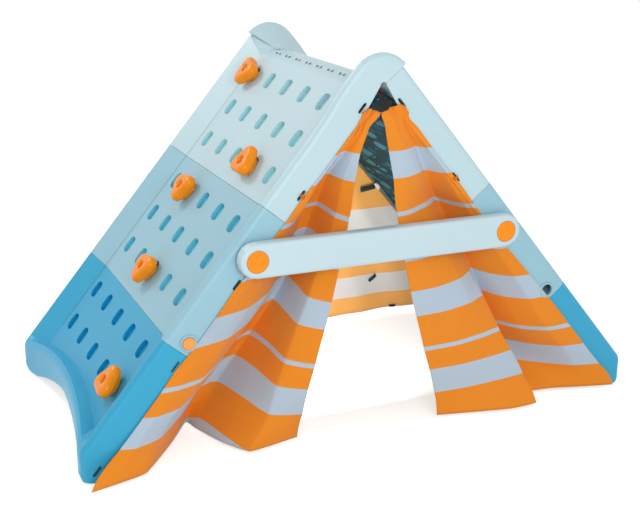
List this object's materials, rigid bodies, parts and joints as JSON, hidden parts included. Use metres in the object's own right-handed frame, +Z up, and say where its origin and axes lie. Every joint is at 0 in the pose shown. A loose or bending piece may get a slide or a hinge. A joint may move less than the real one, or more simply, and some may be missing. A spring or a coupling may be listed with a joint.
{
  "type": "climbing_wall_with_tent",
  "caption": "Children's A-frame climbing wall in blue plastic with slotted faces, orange holds, stay bars and a striped tent inside",
  "frame": {"origin": "on the floor under the ridge, at the middle of the width and the depth", "axes": "+X across the A from the left feet to the right feet, -Y towards the open front, +Z up"},
  "size_m": [1.386, 0.7784, 0.8752],
  "materials": {
    "sky_plastic": "satin moulded",
    "light_blue_plastic": "satin moulded",
    "mid_blue_plastic": "satin moulded",
    "orange_plastic": "glossy moulded",
    "steel": "zinc plated",
    "tent_cloth": "woven polyester, striped",
    "liner_cloth": "printed woven polyester"
  },
  "bodies": {
    "left_wall": {"left_wall_top": "sky_plastic", "left_wall_middle": "light_blue_plastic", "left_wall_bottom": "mid_blue_plastic", "hinge_rod": "steel", "hold_1": "orange_plastic", "hold_2": "orange_plastic", "hold_3": "orange_plastic", "hold_4": "orange_plastic", "hold_5": "orange_plastic", "hold_bolt_1": "steel", "hold_bolt_2": "steel", "hold_bolt_3": "steel", "hold_bolt_4": "steel", "hold_bolt_5": "steel", "front_pivot_bolt": "steel", "front_side_peg": "orange_plastic", "back_catch_cradle": "light_blue_plastic", "left_liner": "liner_cloth", "front_flap_left": "tent_cloth", "back_curtain": "tent_cloth"},
    "right_wall": {"right_wall_top": "sky_plastic", "right_wall_middle": "light_blue_plastic", "right_wall_bottom": "mid_blue_plastic", "back_pivot_bolt": "steel", "back_side_peg": "orange_plastic", "front_catch_cradle": "light_blue_plastic", "right_liner": "liner_cloth", "front_flap_right": "tent_cloth"},
    "front_bar": {"front_stay_bar": "sky_plastic", "front_bar_catch": "sky_plastic", "front_pivot_cap": "orange_plastic", "front_latch_spring": "steel"},
    "back_bar": {"back_stay_bar": "sky_plastic", "back_bar_catch": "sky_plastic", "back_pivot_cap": "orange_plastic", "back_latch_spring": "steel"},
    "front_button": {"front_latch_button": "orange_plastic"},
    "back_button": {"back_latch_button": "orange_plastic"}
  },
  "joints": [
    {"name": "ridge_hinge", "type": "hinge", "parent": "left_wall", "child": "right_wall", "pos_m": [0, 0, 0.7956], "axis": [0, 1, 0], "range_deg": [0, 78], "deforming": ["front_flap_left", "front_flap_right", "back_curtain"]},
    {"name": "front_bar_pivot", "type": "hinge", "parent": "left_wall", "child": "front_bar", "pos_m": [-0.30414, -0.3585, 0.45806], "axis": [0, -1, 0], "range_deg": [0, 50]},
    {"name": "back_bar_pivot", "type": "hinge", "parent": "right_wall", "child": "back_bar", "pos_m": [0.30414, 0.3585, 0.45806], "axis": [0, 1, 0], "range_deg": [0, 50]},
    {"name": "front_latch_press", "type": "slide", "parent": "front_bar", "child": "front_button", "axis": [0, 1, 0], "range_m": [0, 0.005], "stiffness_N_per_m": 400, "springref_m": -0.004, "deforming": ["front_latch_spring"]},
    {"name": "back_latch_press", "type": "slide", "parent": "back_bar", "child": "back_button", "axis": [0, -1, 0], "range_m": [0, 0.005], "stiffness_N_per_m": 400, "springref_m": -0.004, "deforming": ["back_latch_spring"]}
  ]
}
